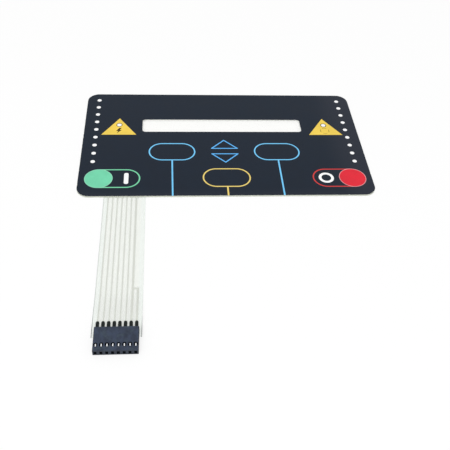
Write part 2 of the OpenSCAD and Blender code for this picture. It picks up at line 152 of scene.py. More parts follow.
class KeypadPrint(bpy.types.PropertyGroup):
    """Colours and finish of the print on the front."""

    navy: colour_property("Navy", "Dark ink over the whole front", 22, 32, 45)
    blue: colour_property("Blue", "Outlines of the side keys and their stems", 118, 203, 253)
    amber: colour_property("Amber", "Outline of the middle key and its stem", 240, 213, 118)
    green: colour_property("Green", "Start key", 114, 211, 170)
    red: colour_property("Red", "Stop key", 221, 32, 51)
    yellow: colour_property("Yellow", "Lamp triangles", 241, 207, 84)
    white: colour_property("White", "Dots and symbols", 253, 253, 254)
    black: colour_property("Black", "Symbols in the triangles", 40, 28, 2)
    # Painted sheen: a paler navy towards the front and right edges, where the film reflects more light
    painted_sheen: colour_property("Rubbed navy", "Dark ink towards the front and right edges", 37, 42, 53)
    backing: colour_property("Backing", "White coat under the dark ink, on the film", 253, 253, 252)
    chip: colour_property("Chips", "Pale film where ink has come off the edge", 214, 218, 204)
    roughness: share_property("Roughness", "Roughness of the satin ink", 0.5)
    grain: length_property("Grain", "Size of the fine grain of the front", 0.28)
    chip_depth: length_property("Chip depth", "How far the chips reach in from the edge", 0.38)
    rim: length_property("Rim", "Width of the thin, paler rim of the two round keys", 0.35)
    red_rim: share_property("Red rim", "How pale the rim of the stop key is", 0.35)
    green_rim: share_property("Green rim", "How pale the rim of the start key is", 0.15)
    red_line: colour_property("Red line", "Thin outline beside the stop key", 205, 56, 54)
    green_line: colour_property("Green line", "Thin outline beside the start key", 120, 212, 166)
    arrow: colour_property("Arrows", "Thin lines of the two arrows", 96, 184, 250)
    ring_line: share_property("Ring lines", "Share of yellow that shows through the broken ring", 0.35)


class KeypadFilms(bpy.types.PropertyGroup):
    """Colours of the clear and white films, adhesives and tracks."""

    liner: colour_property("Liner", "Paper that covers the rear adhesive", 254, 254, 252)
    adhesive: colour_property("Adhesive", "Clear acrylic between the films", 248, 249, 245)
    spacer: colour_property("Spacer", "White polyester sheet round the domes", 250, 251, 249)
    soil: colour_property("Soiled edge", "Cut edges of the layers at the panel's outline", 197, 200, 188)
    overlay: colour_property("Overlay", "Clear film that carries the print", 252, 253, 253)
    overlay_alpha: share_property("Overlay cover", "Share of light that each face of it stops", 0.02)
    film: colour_property("Circuit film", "Milky film of the circuit and its tail", 243, 247, 239)
    # Painted shadow: the grey of the line along the tail's cut edges, which stands in for the edge's shadow
    # on the floor and its refraction
    edge_shadow: colour_property("Film edge", "Cut edge of the tail", 188, 192, 190)
    film_alpha: share_property("Circuit film cover", "Share of light that each face of it stops", 0.32)
    silver: colour_property("Tracks", "Printed silver", 212, 215, 207)
    steel: colour_property("Domes", "Spring steel of the snap domes", 196, 198, 200)
    # The grey line is a painted shadow along the cut edge
    edge_width: length_property("Edge width", "Width of the grey line along the tail's cut edge", 0.42)


class KeypadConnector(bpy.types.PropertyGroup):
    """Sizes and colours of the crimp connector."""

    plastic: colour_property("Housing", "Moulded housing", 47, 56, 74)
    scuff: colour_property("Scuffs", "Dull scuffs on the housing", 60, 73, 83)
    tin: colour_property("Tin", "Tinned spring metal of the contacts", 247, 250, 254)
    # Painted shade and painted dark reflection: the colour that stands in for the tin on the crimp lugs and
    # inside the housing
    lug: colour_property("Lugs", "Darkened metal of the crimp lugs", 28, 33, 32)
    edge: length_property("Edge", "Rounding of the housing's edges", 0.25)
    corner: length_property("Corner", "Rounding of the housing's two rear corners", 0.5)
    rim: length_property("Rim", "Rounding of the rims of the openings", 0.05)
    pin_w: length_property("Pin hole width", "Width of the hole for a pin", 1.15)
    pin_h: length_property("Pin hole height", "Height of the hole for a pin", 1.85)
    pin_lead: length_property("Pin lead", "Depth of the funnel before a pin hole, and its widening", 0.2)
    front_wall: length_property("Front wall", "Thickness of the wall with the pin holes", 1.2)
    gap: length_property("Gap", "Space round a contact", 0.1)
    window_len: length_property("Window length", "Length of the window over a contact", 2.4)
    window_w: length_property("Window width", "Width of the window over a contact", 1.75)
    window_back: length_property("Window place", "Distance of the windows from the front", 3.4)
    film: length_property("Film", "Thickness of the film between the crimp jaws", 0.125)
    track: length_property("Track", "Thickness of a track on the film", 0.02)
    jaw: length_property("Jaw", "Thickness of a crimp jaw", 0.35)
    crown: length_property("Crown", "Height of the lug's crowned back", 0.3)
    web: length_property("Web", "Length of the web between the crimp and the spring box", 0.8)
    burr: length_property("Burr", "Rounding of the contacts' edges", 0.04)
    box: length_property("Box", "Height of the spring box that takes a pin", 2.0)
    bore: length_property("Bore", "Opening of the spring box", 1.2)
    lance_len: length_property("Lance length", "Length of the lance that shows in a window", 1.6)
    lance_w: length_property("Lance width", "Width of the lance that shows in a window", 0.75)
    lance_rise: length_property("Lance rise", "Height of the lance above the spring box", 0.3)
    round_steps: IntProperty(
        name="Round steps", description="Steps of a rounded end", min=2, max=24, default=8
    )


class KeypadStage(bpy.types.PropertyGroup):
    """Camera, light and floor."""

    camera: place_property("Camera", "Place of the camera", (-0.03321, -0.32336, 0.25419))
    elevation: angle_property("Elevation", "How far the camera looks down", 44.95)
    yaw: angle_property("Yaw", "How far the camera turns to the right", 6.652)
    roll: angle_property("Roll", "Tilt of the camera", 4.153)
    lens: FloatProperty(
        name="Lens", description="Focal length on a 36 mm sensor, in millimetres", min=10, default=54.12
    )
    floor: colour_property("Floor", "Plain floor", 252, 252, 252)
    glow: share_property("Floor glow", "Share of plain white in the floor that the camera sees", 0.7)
    sky: FloatProperty(name="Sky", description="Strength of the light from all round", min=0, default=0.65)
    lamp: FloatProperty(
        name="Lamp", description="Strength of the wide lamp, in watts", unit="POWER", default=53.0
    )
    lamp_place: place_property("Lamp place", "Place of the wide lamp", (-0.4, -2.0, 2.2))
    lamp_size: FloatProperty(
        name="Lamp size", description="Width of the wide lamp", unit="LENGTH", min=0.01, default=2.4
    )


class Value:
    """A socket of a node tree that takes part in sums as a number does."""

    def __init__(self, tree, socket):
        self.tree = tree
        self.socket = socket

    def math(self, operation, first, second):
        """Adds a Math node for two values."""
        return self.tree.node("ShaderNodeMath", {"operation": operation}, {0: first, 1: second})

    def __add__(self, other):
        return self.math("ADD", self, other)

    def __radd__(self, other):
        return self.math("ADD", other, self)

    def __sub__(self, other):
        return self.math("SUBTRACT", self, other)

    def __rsub__(self, other):
        return self.math("SUBTRACT", other, self)

    def __mul__(self, other):
        return self.math("MULTIPLY", self, other)

    def __rmul__(self, other):
        return self.math("MULTIPLY", other, self)

    def __truediv__(self, other):
        return self.math("DIVIDE", self, other)

    def __rtruediv__(self, other):
        return self.math("DIVIDE", other, self)

    def __pow__(self, other):
        return self.math("POWER", self, other)

    def __neg__(self):
        return self.math("SUBTRACT", 0.0, self)

    def __abs__(self):
        return self.math("ABSOLUTE", self, 0.0)

    def at_least(self, other):
        """The larger of two values."""
        return self.math("MAXIMUM", self, other)

    def at_most(self, other):
        """The smaller of two values."""
        return self.math("MINIMUM", self, other)

    def step(self, start, end):
        """A soft step from 0 at the start to 1 at the end."""
        return self.tree.node(
            "ShaderNodeMapRange",
            {"interpolation_type": "SMOOTHSTEP"},
            {"Value": self, "From Min": start, "From Max": end},
        )

    def within(self, start, end):
        """A soft step from 1 at the start to 0 at the end."""
        return 1 - self.step(start, end)

    def between(self, low, high):
        """A value that goes from low to high as this one goes from 0 to 1."""
        return self * (high - low) + low


class Tree:
    """A node tree that is filled by one method."""

    def __init__(self, owner):
        owner.use_nodes = True
        self.tree = owner.node_tree
        self.tree.nodes.clear()

    def node(self, kind, settings=None, inputs=None, output=0):
        """Adds a node with its settings and the values or links of its sockets, and returns one output."""
        made = self.tree.nodes.new(kind)
        for key, setting in (settings or {}).items():
            setattr(made, key, setting)
        for key, value in (inputs or {}).items():
            self.put(made.inputs[key], value)
        return None if output is None else Value(self, made.outputs[output])

    def put(self, socket, value):
        """Links a value to a socket, or sets the socket to a number or a colour."""
        if isinstance(value, Value):
            self.tree.links.new(value.socket, socket)
        elif socket.type == "RGBA":
            socket.default_value = (*value[:3], 1)
        else:
            socket.default_value = value

    def seen(self):
        """1 for what the camera, gloss and clear films see, and 0 for the light that falls on things."""
        kinds = ("Is Camera Ray", "Is Glossy Ray", "Is Transmission Ray")
        camera, gloss, clear = (self.node("ShaderNodeLightPath", output=kind) for kind in kinds)
        return (camera + gloss + clear).at_most(1.0)

    def light(self, kind, strength):
        """A plain white light of an emission or background kind."""
        return self.node(kind, inputs={"Color": WHITE_LIGHT, "Strength": strength})

    def blend(self, share, first, second):
        """Blend of two shaders."""
        return self.node("ShaderNodeMixShader", inputs={0: share, 1: first, 2: second})


class Finish(Tree):
    """A material under construction, with the place on the piece."""

    def __init__(self, name):
        self.material = bpy.data.materials.new(name)
        super().__init__(self.material)
        self.place = self.node("ShaderNodeTexCoord", output="Object")
        self.x, self.y, self.z = (
            self.node("ShaderNodeSeparateXYZ", inputs={0: self.place}, output=axis) for axis in "XYZ"
        )

    def shader(self, **values):
        """A Principled shader with some of its sockets set or linked, named with underscores for spaces."""
        inputs = {key.replace("_", " "): value for key, value in values.items()}
        return self.node("ShaderNodeBsdfPrincipled", inputs=inputs)

    def show(self, shader):
        """Makes a shader the surface of the material."""
        self.node("ShaderNodeOutputMaterial", inputs={"Surface": shader}, output=None)

    def give(self, **values):
        """Makes the surface a Principled shader with the given sockets."""
        self.show(self.shader(**values))

    def noise(self, size, detail=3.0, roughness=0.5, stretch=None):
        """Noise from 0 to 1 whose patches are about the given size, drawn out along the axes by stretch."""
        place = self.place
        if stretch:
            scale = tuple(1 / part for part in stretch)
            place = self.node("ShaderNodeMapping", inputs={"Vector": place, "Scale": scale})
        return self.node(
            "ShaderNodeTexNoise",
            inputs={"Vector": place, "Scale": 1 / size, "Detail": detail, "Roughness": roughness},
            output="Fac",
        )

    def mix(self, share, first, second):
        """Blend of two colours."""
        return self.node(
            "ShaderNodeMix",
            {"data_type": "RGBA", "clamp_factor": True},
            {"Factor": share, 6: first, 7: second},
            output=2,
        )

    def shades(self, share, colour, first, second):
        """Blend of two shades of one colour, each given by its factor."""
        return self.mix(share, shade(colour, first), shade(colour, second))

    def bump(self, height, depth, strength):
        """A normal from a height that goes from 0 to 1."""
        inputs = {"Strength": strength, "Distance": depth, "Height": height}
        return self.node("ShaderNodeBump", inputs=inputs, output="Normal")


def shade(colour, factor):
    """A colour made lighter or darker."""
    return tuple(min(1.0, part * factor) for part in colour[:3])


def dress(node_name, finish):
    """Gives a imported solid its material."""
    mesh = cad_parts[node_name].data
    mesh.materials.clear()
    mesh.materials.append(finish.material)


def length(across, along):
    """Length of a flat vector, given by its two parts."""
    return (across * across + along * along) ** 0.5


def from_panel_edge(finish):
    """Distance in from the panel's rounded outline."""
    across = abs(finish.x) - (PANEL_HIGH.x - PANEL_CORNER)
    along = abs(finish.y) - (PANEL_HIGH.y - PANEL_CORNER)
    outside = length(across.at_least(0.0), along.at_least(0.0))
    inside = across.at_least(along).at_most(0.0)
    return PANEL_CORNER - outside - inside


def panel_outline(finish):
    """1 at the cut edges of the panel, and 0 further in."""
    return from_panel_edge(finish).within(0.5 * MM, 2 * MM)


def round_key(node_name, side):
    """Middle and radius of the disc at one end of a key's print."""
    low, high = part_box(node_name)
    radius = (high.y - low.y) / 2
    x = high.x - radius if side > 0 else low.x + radius
    return x, (low.y + high.y) / 2, radius


def key_rim(finish, tint, disc, settings, pale, outline):
    """Tint of a round key with a paler rim, and with another tint in the thin outline beside it."""
    x, y, radius = disc
    out = length(finish.x - x, finish.y - y)
    soft = 0.06 * MM
    rim = out.step(radius - settings.rim - soft, radius - settings.rim + soft)
    line = out.step(radius + soft, radius + 3 * soft)
    tint = finish.mix(rim * (1 - line) * pale, tint, settings.white)
    return finish.mix(line, tint, outline)


def stop_key(finish, tint, settings):
    """The red disc at the right, with its rim and outline."""
    disc = round_key("red_print", 1)
    return key_rim(finish, tint, disc, settings, settings.red_rim, settings.red_line)


def start_key(finish, tint, settings):
    """The green disc at the left, with its rim and outline."""
    disc = round_key("green_print", -1)
    return key_rim(finish, tint, disc, settings, settings.green_rim, settings.green_line)


def arrow_lines(finish, tint, settings):
    """A deeper blue on the arrows, in the middle of the panel."""
    arrows = abs(finish.x).within(ARROW_ZONE - ZONE_BLUR, ARROW_ZONE + ZONE_BLUR)
    return finish.mix(arrows, tint, settings.arrow)


def broken_ring(finish, tint, settings):
    """Some yellow in the thin black of the broken ring, under the right lamp."""
    right = finish.x.step(-ZONE_BLUR, ZONE_BLUR)
    below_lamp = finish.y.within(LAMP_RING_FOOT - LINE_BLUR, LAMP_RING_FOOT)
    return finish.mix(right * below_lamp * settings.ring_line, tint, settings.yellow)


def sheen_and_worn_navy(finish, tint, settings):
    """Navy with a painted sheen that makes it paler at the right and front, chipped at the outline and
    white underneath.
    """
    to_right = finish.x.step(PANEL_HIGH.x - SHEEN_START, PANEL_HIGH.x - SHEEN_FULL)
    to_front = (-finish.y).step(-PANEL_LOW.y - SHEEN_FRONT, -PANEL_LOW.y)
    # Painted sheen: the navy is made paler towards the right edge and, half as much, towards the front edge
    tint = finish.mix(to_right.at_least(to_front * 0.5), tint, settings.painted_sheen)
    ragged = finish.noise(size=1.1 * MM, detail=4, roughness=0.7).step(0.545, 0.645)
    chips = (1 - from_panel_edge(finish) / settings.chip_depth).at_least(0.0) * ragged
    tint = finish.mix(chips.step(0.25, 0.4), tint, settings.chip)
    thick = NAVY_HIGH.z - NAVY_LOW.z
    upper = finish.z.step(NAVY_LOW.z + 0.2 * thick, NAVY_LOW.z + 0.8 * thick)
    return finish.mix(upper, settings.backing, tint)


INK_DETAILS = {
    "navy": sheen_and_worn_navy,
    "blue": arrow_lines,
    "green": start_key,
    "red": stop_key,
    "black": broken_ring,
}


def ink_finish(name, settings):
    """Satin screen ink with the fine grain of a textured film, mottled a little, and its own details."""
    finish = Finish(name + "_ink")
    colour = getattr(settings, name)
    grain = finish.noise(settings.grain)
    cloud = finish.noise(size=9 * MM)
    speck = finish.noise(size=0.7 * MM, detail=1)
    faded = 0.975 if name == "white" else 0.94
    tint = finish.shades(cloud.step(0.3, 0.7), colour, faded, 1.05)
    tint = finish.mix(speck.step(0.55, 0.75) * 0.5, tint, shade(colour, 1.15))
    if name in INK_DETAILS:
        tint = INK_DETAILS[name](finish, tint, settings)
    finish.give(
        Base_Color=tint,
        Roughness=cloud.between(settings.roughness - 0.07, settings.roughness + 0.07),
        Specular_IOR_Level=0.12 if name in DARK_INKS else 0.25,
        Normal=finish.bump(grain, depth=0.03 * MM, strength=0.6),
    )
    return finish


class KEYPAD_OT_print(bpy.types.Operator):
    """Gives every ink of the front its colour and grain"""

    bl_idname = "keypad.print"
    bl_label = "Print"

    def execute(self, context):
        settings = context.scene.keypad_print
        for name in INKS:
            dress(name + "_print", ink_finish(name, settings))
        return {"FINISHED"}


class KEYPAD_OT_overlay(bpy.types.Operator):
    """Makes the overlay a clear, slightly milky film"""

    bl_idname = "keypad.overlay"
    bl_label = "Overlay film"

    def execute(self, context):
        settings = context.scene.keypad_films
        finish = Finish("overlay_film")
        haze = finish.noise(size=6 * MM)
        grain = finish.noise(size=0.3 * MM, detail=2)
        finish.give(
            Base_Color=finish.shades(haze, settings.overlay, 0.97, 1),
            Roughness=haze.between(0.28, 0.4),
            Alpha=settings.overlay_alpha,
            Specular_IOR_Level=0.5,
            Normal=finish.bump(grain, depth=0.008 * MM, strength=0.3),
        )
        dress("overlay_film", finish)
        return {"FINISHED"}


class KEYPAD_OT_inner_layers(bpy.types.Operator):
    """Gives the liner, the adhesives, the spacer and the domes their finishes"""

    bl_idname = "keypad.inner_layers"
    bl_label = "Liner, adhesives, spacer and domes"

    def execute(self, context):
        settings = context.scene.keypad_films
        self.liner(settings.liner)
        self.adhesive(settings.adhesive, settings.soil)
        self.spacer(settings.spacer, settings.soil)
        self.domes(settings.steel)
        return {"FINISHED"}

    def liner(self, colour):
        """Coated paper with short fibres."""
        finish = Finish("liner_paper")
        fibres = finish.noise(size=0.5 * MM, detail=5, roughness=0.65, stretch=(3, 1, 1))
        cloud = finish.noise(size=7 * MM, detail=4)
        tint = finish.shades(cloud, colour, 0.985, 1.01)
        tint = finish.mix(fibres.step(0.6, 0.75) * 0.2, tint, shade(colour, 0.94))
        finish.give(
            Base_Color=tint,
            Roughness=cloud.between(0.5, 0.65),
            Specular_IOR_Level=0.3,
            Normal=finish.bump(fibres, depth=0.01 * MM, strength=0.2),
        )
        dress("release_liner", finish)

    def adhesive(self, colour, soil):
        """Clear acrylic, a little cloudy, and soiled at the panel's outline."""
        finish = Finish("acrylic_adhesive")
        cloud = finish.noise(size=2 * MM)
        tint = finish.shades(cloud, colour, 0.97, 1.03)
        finish.give(
            Base_Color=finish.mix(panel_outline(finish), tint, soil),
            Roughness=cloud.between(0.25, 0.45),
            Normal=finish.bump(cloud, depth=0.02 * MM, strength=0.3),
        )
        dress("rear_adhesive", finish)
        dress("overlay_adhesive", finish)

    def spacer(self, colour, soil):
        """White polyester with cut edges, soiled at the panel's outline."""
        finish = Finish("white_polyester")
        cloud = finish.noise(size=4 * MM)
        cuts = finish.noise(size=0.4 * MM, stretch=(4, 4, 1))
        tint = finish.shades(cuts.step(0.35, 0.7), colour, 0.97, 1.03)
        finish.give(
            Base_Color=finish.mix(panel_outline(finish), tint, soil),
            Roughness=cloud.between(0.42, 0.57),
            Specular_IOR_Level=0.4,
            Normal=finish.bump(cuts, depth=0.015 * MM, strength=0.35),
        )
        dress("spacer", finish)

    def domes(self, colour):
        """Brushed spring steel."""
        finish = Finish("dome_steel")
        brushed = finish.noise(size=0.12 * MM, stretch=(14, 1, 1))
        stain = finish.noise(size=2.5 * MM)
        finish.give(
            Base_Color=finish.shades(brushed, colour, 0.86, 1.08),
            Metallic=1.0,
            Roughness=stain.between(0.24, 0.36),
            Normal=finish.bump(brushed, depth=0.004 * MM, strength=0.4),
        )
        for key in KEYS:
            dress("dome_" + key, finish)


class KEYPAD_OT_circuit(bpy.types.Operator):
    """Makes the circuit film milky, with painted shade towards its end and painted shadow lines along the
    cut edges of its tail, and its tracks dull silver
    """

    bl_idname = "keypad.circuit"
    bl_label = "Circuit film and tracks"

    def execute(self, context):
        settings = context.scene.keypad_films
        self.film(settings)
        self.tracks(settings.silver)
        return {"FINISHED"}

    def film(self, settings):
        """Milky film, cooler in its margins, with painted shade that darkens it towards the tail's end, and
        painted shadow lines along the tail's cut edges that darken towards its end.
        """
        colour = settings.film
        finish = Finish("circuit_film")
        across = finish.x - TAIL_X
        down = -finish.y
        on_tail = down.step(-PANEL_LOW.y - LINE_BLUR, -PANEL_LOW.y + LINE_BLUR)
        # Painted shade: the film and its edge lines get darker towards the tail's end at the connector
        shaded_to_end = down.step(-FILM_END - TAIL_SHADE, -FILM_END)
        wing_shadow = down.step(-FILM_END - WING_START, -FILM_END - WING_FULL)
        half = TAIL_W / 2
        # Painted shadow: opaque grey lines along the tail's cut edges, which stand in for the edge's shadow
        # on the floor and its refraction
        edge = (half - settings.edge_width, half - 0.3 * settings.edge_width)
        left = (-across).step(*edge) * shaded_to_end.between(0.65, 1)
        right = across.step(*edge) * (shaded_to_end * 0.2 + wing_shadow * 0.6 + 0.15)
        line = (left + right) * on_tail
        grey = finish.shades(wing_shadow, settings.edge_shadow, 1, 0.2)
        margin = abs(across).step(half - PITCH, half - 0.8 * PITCH)
        cloud = finish.noise(size=5 * MM, stretch=(1, 3, 1))
        cool = tuple(part * factor for part, factor in zip(colour, COOLER))
        tint = finish.shades(cloud, colour, 0.985, 1)
        # Painted shade towards the tail's end
        tint = finish.mix(shaded_to_end * 0.6, tint, shade(colour, 0.8))
        tint = finish.mix(margin * 0.8, tint, cool)
        finish.give(
            Base_Color=finish.mix(line, tint, grey),
            Roughness=cloud.between(0.3, 0.42),
            Alpha=line.between(settings.film_alpha, 1),
            Specular_IOR_Level=0.3,
            Normal=finish.bump(cloud, depth=0.03 * MM, strength=0.3),
        )
        dress("circuit_film", finish)

    def tracks(self, colour):
        """Printed silver, which is dull and grainy."""
        finish = Finish("printed_silver")
        grain = finish.noise(size=0.15 * MM)
        cloud = finish.noise(size=3 * MM, stretch=(1, 4, 1))
        finish.give(
            Base_Color=finish.shades(cloud, colour, 0.95, 1.04),
            Metallic=0.25,
            Roughness=grain.between(0.45, 0.65),
            Specular_IOR_Level=0.3,
            Normal=finish.bump(grain, depth=0.006 * MM, strength=0.5),
        )
        dress("silver_tracks", finish)


def deselect():
    """Leaves nothing selected, so that an operator meets only what it should."""
    bpy.ops.object.select_all(action="DESELECT")


def activate(piece):
    """Makes a piece the only selected object and the active one."""
    deselect()
    piece.select_set(True)
    bpy.context.view_layer.objects.active = piece


def start_box(name, low, high):
    """Adds a cube primitive that reaches from one corner to another."""
    deselect()
    low = Vector(low)
    high = Vector(high)
    bpy.ops.mesh.primitive_cube_add(size=1, location=(low + high) / 2)
    piece = bpy.context.object
    piece.name = name
    piece.scale = high - low
    bpy.ops.object.transform_apply(location=True, rotation=True, scale=True)
    return piece


def enter_edit(piece, kind):
    """Goes into edit mode with nothing selected, and returns the mesh that is edited."""
    activate(piece)
    bpy.ops.object.mode_set(mode="EDIT")
    bpy.ops.mesh.select_mode(type=kind)
    bpy.ops.mesh.select_all(action="DESELECT")
    return bmesh.from_edit_mesh(piece.data)


def show_picked(piece, mesh):
    """Passes what was selected in code on to the operators."""
    mesh.select_flush_mode()
    bmesh.update_edit_mesh(piece.data)


def leave_edit():
    """Goes back to object mode."""
    bpy.ops.object.mode_set(mode="OBJECT")


def round_edges(piece, test, radius, steps):
    """Bevels the sharp edges whose middle and direction pass the test."""
    mesh = enter_edit(piece, "EDGE")
    for edge in mesh.edges:
        first, second = (vertex.co for vertex in edge.verts)
        passed = test((first + second) / 2, (second - first).normalized())
        edge.select_set(bool(edge.calc_face_angle() > SHARP and passed))
    show_picked(piece, mesh)
    bpy.ops.mesh.bevel(offset=radius, offset_type="OFFSET", segments=steps, profile=0.5, affect="EDGES")
    leave_edit()


def upright_behind(limit):
    """A test that upright edges behind a limit along Y pass."""
    return lambda place, along: abs(along.z) > ALIGNED and place.y > limit


def pick_front(piece):
    """Goes into edit mode and selects the faces that look towards -Y."""
    mesh = enter_edit(piece, "FACE")
    for face in mesh.faces:
        face.select_set(face.normal.y < -ALIGNED)
    show_picked(piece, mesh)


def extrude_along_y(distance):
    """Extrudes the selected faces along Y."""
    bpy.ops.mesh.extrude_region_move(TRANSFORM_OT_translate={"value": (0, distance, 0)})


def apply_last(piece):
    """Applies the modifier that was added last."""
    activate(piece)
    bpy.ops.object.modifier_apply(modifier=piece.modifiers[-1].name)


def combine(piece, other, operation):
    """Cuts another shape out of a piece or makes one solid of the two, and removes the other shape."""
    both = piece.modifiers.new("both", "BOOLEAN")
    both.operation = operation
    both.solver = "EXACT"
    both.object = other
    apply_last(piece)
    bpy.data.objects.remove(other)


def cut_row(piece, cutter):
    """Repeats a cutter at every contact, and takes the row out of a piece."""
    row = cutter.modifiers.new("row", "ARRAY")
    row.count = CONTACT_COUNT
    row.use_relative_offset = False
    row.use_constant_offset = True
    row.constant_offset_displace = (PITCH, 0, 0)
    apply_last(cutter)
    combine(piece, cutter, "DIFFERENCE")


def round_rims(piece, radius, angle):
    """Rounds the edges that turn by more than an angle in degrees."""
    rim = piece.modifiers.new("rim", "BEVEL")
    rim.width = radius
    rim.segments = 2
    rim.limit_method = "ANGLE"
    rim.angle_limit = math.radians(angle)
    rim.use_clamp_overlap = True
    apply_last(piece)


def smooth(piece, angle):
    """Smooths the shading of the roundings but not of the flat faces."""
    activate(piece)
    bpy.ops.object.shade_smooth_by_angle(angle=math.radians(angle))
    flat = piece.modifiers.new("flat", "WEIGHTED_NORMAL")
    flat.mode = "FACE_AREA"
    flat.weight = 100
    flat.keep_sharp = True
    apply_last(piece)


def seat(piece, finish, slot, *nodes):
    """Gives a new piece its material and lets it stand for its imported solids."""
    piece.data.materials.clear()
    piece.data.materials.append(finish.material)
    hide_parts(*nodes)
    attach(piece, "root")


def film_faces(made):
    """Heights of the film's underside and of its tracks' upper side, between the crimp jaws."""
    return HOUSING_Z - made.film / 2, HOUSING_Z + made.film / 2 + made.track


class KEYPAD_OT_housing(bpy.types.Operator):
    """Models the housing with its pin holes, windows, contact cavities and film slot"""

    bl_idname = "keypad.housing"
    bl_label = "Connector housing"

    def execute(self, context):
        made = context.scene.keypad_connector
        housing = start_box("housing_moulding", HOUSING_LOW, HOUSING_HIGH)
        round_edges(housing, upright_behind(HOUSING_HIGH.y - TINY), made.corner, steps=4)
        round_edges(housing, lambda place, along: True, made.edge, steps=3)
        self.windows(housing, made)
        self.pin_holes(housing, made)
        self.cavities(housing, made)
        round_rims(housing, made.rim, angle=35)
        smooth(housing, angle=35)
        seat(housing, self.plastic(made), "housing", "connector_housing")
        return {"FINISHED"}

    def windows(self, housing, made):
        """Cuts a window with round ends over each contact."""
        y = HOUSING_LOW.y + made.window_back
        half = Vector((made.window_w / 2, made.window_len / 2, 0))
        low = Vector((FIRST_X, y, HOUSING_Z)) - half
        high = Vector((FIRST_X, y, HOUSING_HIGH.z + OVERCUT)) + half
        cutter = start_box("window_cutter", low, high)
        radius = made.window_w / 2 * ROUND_END
        round_edges(cutter, lambda place, along: abs(along.z) > ALIGNED, radius, made.round_steps)
        cut_row(housing, cutter)

    def pin_holes(self, housing, made):
        """Cuts the holes in the front wall, with a funnel before each."""
        front = HOUSING_LOW.y
        wide = made.pin_w / 2
        tall = made.pin_h / 2
        low = (FIRST_X - wide, front + made.pin_lead, HOUSING_Z - tall)
        high = (FIRST_X + wide, front + made.front_wall + made.gap, HOUSING_Z + tall)
        cutter = start_box("pin_cutter", low, high)
        pick_front(cutter)
        extrude_along_y(-made.pin_lead)
        wider = (1 + made.pin_lead / made.pin_w, 1, 1 + made.pin_lead / made.pin_h)
        bpy.ops.transform.resize(value=wider, center_override=(FIRST_X, front, HOUSING_Z))
        extrude_along_y(-made.pin_lead)
        leave_edit()
        cut_row(housing, cutter)

    def cavities(self, housing, made):
        """Cuts the cavities of the contacts and the slot of the film."""
        wide = CONTACT_W / 2 + made.gap
        tall = made.box / 2 + made.gap
        front = HOUSING_LOW.y + made.front_wall
        rear = HOUSING_HIGH.y + OVERCUT
        film_end = FILM_END - made.gap
        lower, upper = film_faces(made)
        low = (FIRST_X - wide, front, HOUSING_Z - tall)
        high = (FIRST_X + wide, film_end, HOUSING_Z + tall)
        cut_row(housing, start_box("spring_cutter", low, high))
        low = (FIRST_X - wide, film_end - OVERCUT, lower - made.jaw - made.gap)
        high = (FIRST_X + wide, rear, upper + made.jaw + made.crown + made.gap)
        cut_row(housing, start_box("crimp_cutter", low, high))
        low = (HOUSING_LOW.x - OVERCUT, film_end, lower - made.gap)
        high = (HOUSING_HIGH.x + OVERCUT, rear, upper + made.gap)
        combine(housing, start_box("slot_cutter", low, high), "DIFFERENCE")

    def plastic(self, made):
        """Dark moulded plastic with a spark texture and scuffs, with painted shade on its sides, its front
        and inside its openings.
        """
        colour = made.plastic
        finish = Finish("moulded_plastic")
        grain = finish.noise(size=0.16 * MM)
        flow = finish.noise(size=3 * MM, stretch=(1, 1.6, 1))
        scuffs = finish.noise(size=2.2 * MM, detail=5, roughness=0.65)
        tint = finish.shades(flow.step(0.3, 0.7), colour, 0.7, 1.3)
        tint = finish.mix(grain.step(0.62, 0.78) * 0.3, tint, shade(colour, 1.6))
        tint = finish.mix(scuffs.step(0.5, 0.7) * 0.7, tint, made.scuff)
        # Painted shade: the side faces, and the front face more towards its foot, are darkened
        half = (HOUSING_HIGH.x - HOUSING_LOW.x) / 2
        side = abs(finish.x - TAIL_X).step(half - 0.4 * MM, half - 0.1 * MM)
        front = finish.y.within(HOUSING_LOW.y + 0.1 * MM, HOUSING_LOW.y + 0.3 * MM)
        front_shade = front * finish.z.step(0.4 * MM, 0.9 * MM).between(1, 0.7)
        # Painted shade: the walls inside the pin holes, windows and cavities are darkened where light
        # doesn't get in
        behind = finish.y.step(HOUSING_LOW.y + 0.02 * MM, HOUSING_LOW.y + 0.12 * MM)
        above = finish.z.step(HOUSING_LOW.z + 0.3 * MM, HOUSING_LOW.z + 0.4 * MM)
        below = finish.z.within(HOUSING_HIGH.z - 0.3 * MM, HOUSING_HIGH.z - 0.15 * MM)
        inside = behind * above * below * (1 - side)
        # The painted shade of the sides and front, then the deeper painted shade inside
        tint = finish.mix(side.at_least(front_shade) * 0.85, tint, shade(colour, 0.22))
        tint = finish.mix(inside, tint, shade(colour, 0.1))
        finish.give(
            Base_Color=tint,
            Roughness=flow.between(0.36, 0.52),
            Specular_IOR_Level=0.25,
            Normal=finish.bump(grain, depth=0.012 * MM, strength=0.45),
        )
        return finish


